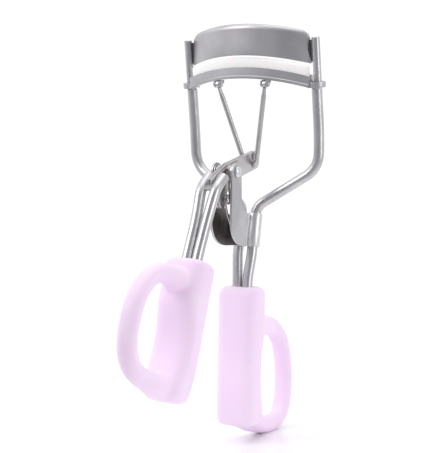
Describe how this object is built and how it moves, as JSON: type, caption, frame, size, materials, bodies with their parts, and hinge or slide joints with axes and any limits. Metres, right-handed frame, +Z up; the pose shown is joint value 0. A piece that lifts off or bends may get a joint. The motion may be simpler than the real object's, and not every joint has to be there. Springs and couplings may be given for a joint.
{
  "type": "eyelash curler",
  "caption": "Hand-held eyelash curler: a curved pressing plate on a bent wire frame, a sliding lower jaw with a soft pad, a pull link, a sprung lever and two looped soft grips.",
  "frame": {"origin": "middle of the small flat on the underside of the fixed finger loop, on which the tool stands", "axes": "+Z up from the grips to the jaws, X across the jaws, -Y towards the swinging handle"},
  "size_m": [0.0394, 0.0785, 0.1027],
  "materials": {
    "satin_steel": "satin pressed sheet steel",
    "polished_steel": "bright plated wire",
    "spring_steel": "bare spring wire",
    "silicone": "smooth white silicone",
    "soft_grip": "matte soft-touch moulding"
  },
  "bodies": {
    "frame": {"left_frame_wire": "polished_steel", "right_frame_wire": "polished_steel", "top_plate": "satin_steel", "left_bracket_plate": "satin_steel", "right_bracket_plate": "satin_steel", "pivot_rivet": "polished_steel", "left_pivot_washer": "polished_steel", "right_pivot_washer": "polished_steel", "spacer_bush": "polished_steel", "torsion_spring": "spring_steel", "fixed_grip": "soft_grip"},
    "jaw": {"lower_jaw": "satin_steel", "silicone_pad": "silicone", "left_link_lug": "satin_steel", "right_link_lug": "satin_steel", "left_link_pin": "polished_steel", "right_link_pin": "polished_steel"},
    "link": {"v_link": "satin_steel"},
    "handle": {"lever_plate": "satin_steel", "left_handle_wire": "polished_steel", "right_handle_wire": "polished_steel", "moving_grip": "soft_grip"}
  },
  "joints": [
    {"name": "handle_pivot", "type": "hinge", "parent": "frame", "child": "handle", "pos_m": [0, -0.0241, 0.0669], "axis": [1, 0, 0], "range_deg": [-25, 2.5], "stiffness_Nm_per_rad": 0.25},
    {"name": "jaw_slide", "type": "slide", "parent": "frame", "child": "jaw", "axis": [0, -0.165, 0.9863], "range_m": [-0.0053, 0.0006]},
    {"name": "link_swing", "type": "hinge", "parent": "jaw", "child": "link", "pos_m": [0, -0.01766, 0.08808], "axis": [1, 0, 0], "range_deg": [-3, 1]}
  ],
  "couplings": [
    {"joint": "jaw_slide", "follows": "handle_pivot", "m_per_rad": 0.01165},
    {"joint": "link_swing", "follows": "handle_pivot", "ratio": 0.1}
  ]
}
